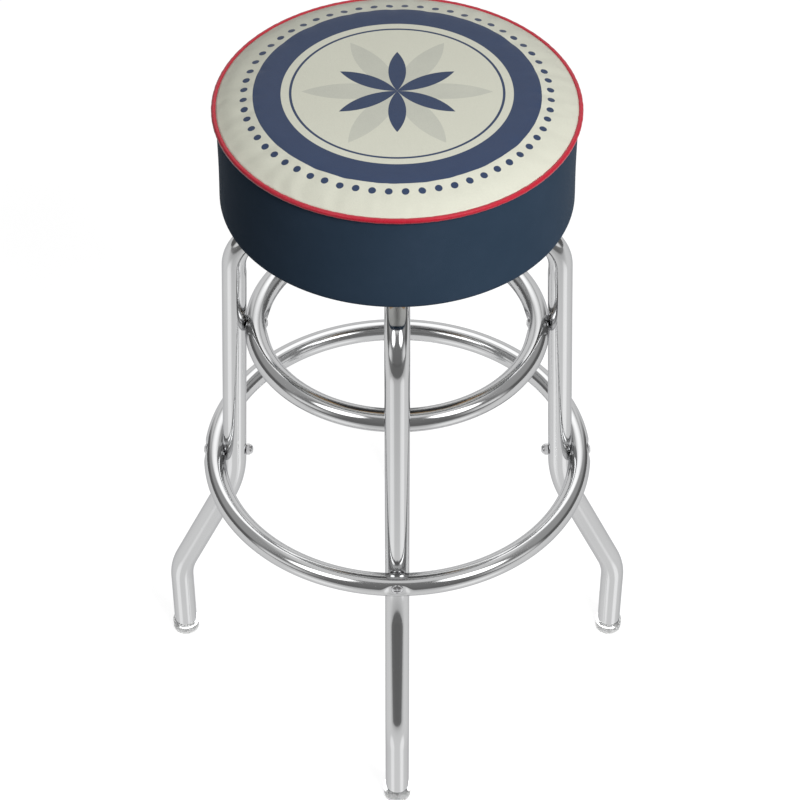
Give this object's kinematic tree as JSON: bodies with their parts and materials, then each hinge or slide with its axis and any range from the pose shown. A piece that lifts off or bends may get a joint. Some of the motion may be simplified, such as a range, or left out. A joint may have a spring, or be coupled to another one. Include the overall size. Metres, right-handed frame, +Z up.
{
  "type": "padded swivel bar stool",
  "caption": "Backless bar stool: round padded seat on a ball swivel, over bent chrome tube legs with a foot ring and a smaller brace ring.",
  "frame": {"origin": "on the floor, under the centre of the round seat", "axes": "+Z up along the swivel's axis; the four legs stand along +X, -X, +Y and -Y, and -Y is the leg nearest the camera in the picture"},
  "size_m": [0.517, 0.517, 0.765],
  "materials": {
    "chrome_tube": "polished",
    "bright_fasteners": "polished",
    "zinc_steel": "satin",
    "swivel_steel": "satin",
    "cage_steel": "satin",
    "ball_steel": "polished",
    "nylon_washer": "satin",
    "clear_cap": "gloss",
    "plywood": "matte",
    "foam": "matte",
    "printed_vinyl": "satin",
    "navy_vinyl": "satin",
    "red_vinyl": "gloss",
    "piping_cord": "matte",
    "pale_cover": "matte"
  },
  "bodies": {
    "base": {"leg_frame_side": "chrome_tube", "leg_frame_front": "chrome_tube", "foot_ring": "chrome_tube", "upper_ring": "chrome_tube", "foot_ring_screws": "bright_fasteners", "foot_ring_cap_nuts": "bright_fasteners", "upper_ring_screws": "bright_fasteners", "leg_inserts": "zinc_steel", "foot_cap_right": "clear_cap", "foot_cap_back": "clear_cap", "foot_cap_left": "clear_cap", "foot_cap_front": "clear_cap", "swivel_lower_plate": "swivel_steel", "swivel_rivet": "zinc_steel", "rivet_washer": "nylon_washer", "frame_bolts": "zinc_steel", "frame_bolt_washers": "zinc_steel", "frame_bolt_nuts": "zinc_steel"},
    "cage": {"ball_cage": "cage_steel", "swivel_balls": "ball_steel"},
    "seat": {"swivel_upper_plate": "swivel_steel", "seat_bolts": "zinc_steel", "tee_nuts": "zinc_steel", "seat_board": "plywood", "seat_foam": "foam", "seat_top_panel": "printed_vinyl", "seat_side_band": "navy_vinyl", "seat_piping": "red_vinyl", "piping_cord": "piping_cord", "dust_cover": "pale_cover", "cover_staples": "zinc_steel"}
  },
  "joints": [
    {"name": "seat_swivel", "type": "hinge", "parent": "base", "child": "seat", "pos_m": [0, 0, 0.62365], "axis": [0, 0, 1], "continuous": true},
    {"name": "cage_spin", "type": "hinge", "parent": "base", "child": "cage", "pos_m": [0, 0, 0.62365], "axis": [0, 0, 1], "continuous": true}
  ],
  "couplings": [
    {"joint": "cage_spin", "follows": "seat_swivel", "ratio": 0.5}
  ]
}
